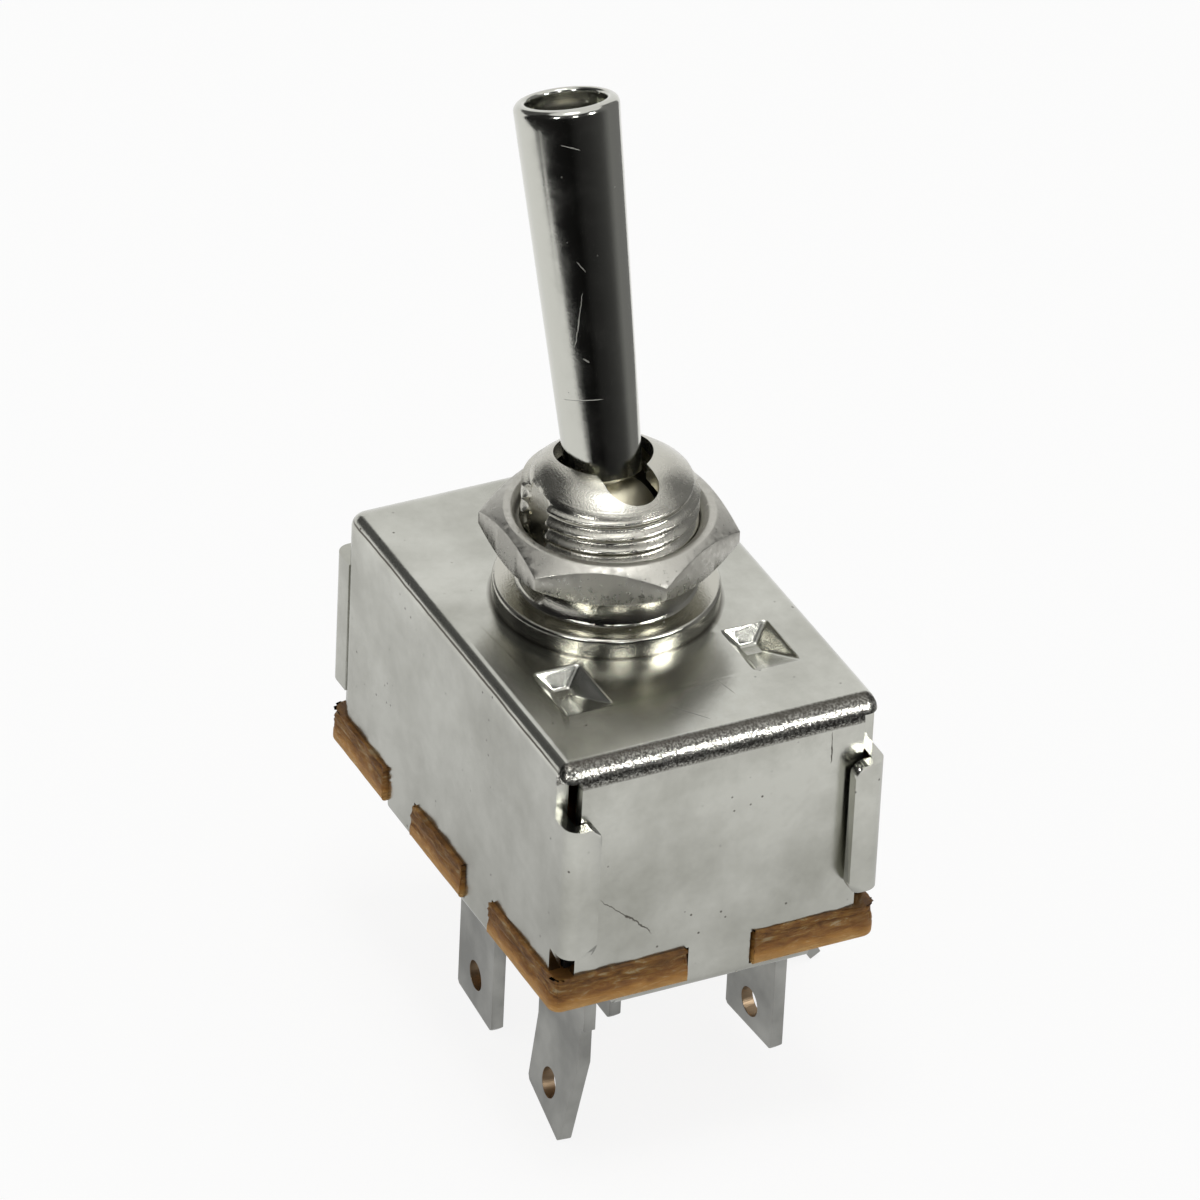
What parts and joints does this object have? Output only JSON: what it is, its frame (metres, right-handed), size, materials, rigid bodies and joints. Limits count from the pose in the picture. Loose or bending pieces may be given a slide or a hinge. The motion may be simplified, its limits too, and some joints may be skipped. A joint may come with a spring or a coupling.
{
  "type": "toggle switch",
  "caption": "Heavy-duty power take-off toggle switch with a tapered locking lever, a domed threaded bushing with hex nut, a crimped steel can and blade terminals.",
  "frame": {"origin": "on the bushing's axis, in the plane of the flange's upper face, where a panel's underside sits", "axes": "+Z along the bushing's axis out through the panel; +X the way the lever swings on; -Y the long side of the can that faces left in the picture"},
  "size_m": [0.0374, 0.0292, 0.0681],
  "materials": {
    "bright_plate": "polished, bright plated",
    "satin_plate": "satin nickel plated steel",
    "brass": "machined",
    "spring_steel": "bright wire",
    "phenolic": "laminated, cut edges rough",
    "moulding": "moulded",
    "tinned_brass": "dull tinned brass",
    "contact_silver": "silver",
    "copper": "bare copper alloy"
  },
  "bodies": {
    "case": {"bushing": "bright_plate", "hex_nut": "satin_plate", "case_cover": "satin_plate", "pivot_pin": "spring_steel", "base_plate": "phenolic", "contact_block": "moulding", "near_common_terminal": "tinned_brass", "near_load_terminal": "tinned_brass", "middle_common_terminal": "tinned_brass", "middle_rest_terminal": "tinned_brass", "far_common_terminal": "tinned_brass", "far_load_terminal": "tinned_brass", "near_fixed_contact": "contact_silver", "far_fixed_contact": "contact_silver", "middle_fixed_contact": "contact_silver"},
    "lever": {"lever_stem": "brass", "stem_washer": "bright_plate", "sleeve_spring": "spring_steel", "plunger_spring": "spring_steel"},
    "sleeve": {"lever_sleeve": "bright_plate"},
    "plunger_body": {"plunger": "brass"},
    "rocker_body": {"rocker": "moulding", "near_contact_bar": "copper", "far_contact_bar": "copper", "middle_contact_bar": "copper", "near_moving_contact": "contact_silver", "far_moving_contact": "contact_silver", "middle_moving_contact": "contact_silver"}
  },
  "joints": [
    {"name": "toggle", "type": "hinge", "parent": "case", "child": "lever", "pos_m": [0, 0, 0.00445], "axis": [0, 1, 0], "range_deg": [0, 36.6]},
    {"name": "sleeve_pull", "type": "slide", "parent": "lever", "child": "sleeve", "axis": [-0.314, 0, 0.9494], "range_m": [0, 0.0042], "deforming": ["sleeve_spring"]},
    {"name": "plunger_press", "type": "slide", "parent": "lever", "child": "plunger_body", "axis": [-0.314, 0, 0.9494], "range_m": [0, 0.0012], "stiffness_N_per_m": 400, "deforming": ["plunger_spring"]},
    {"name": "rocker_tilt", "type": "hinge", "parent": "case", "child": "rocker_body", "pos_m": [0, 0, -0.011], "axis": [0, 1, 0], "range_deg": [-16.1, 0]}
  ],
  "couplings": [
    {"joint": "sleeve_pull", "follows": "toggle", "m_per_rad": 0.0063},
    {"joint": "rocker_tilt", "follows": "toggle", "ratio": -0.43716}
  ]
}
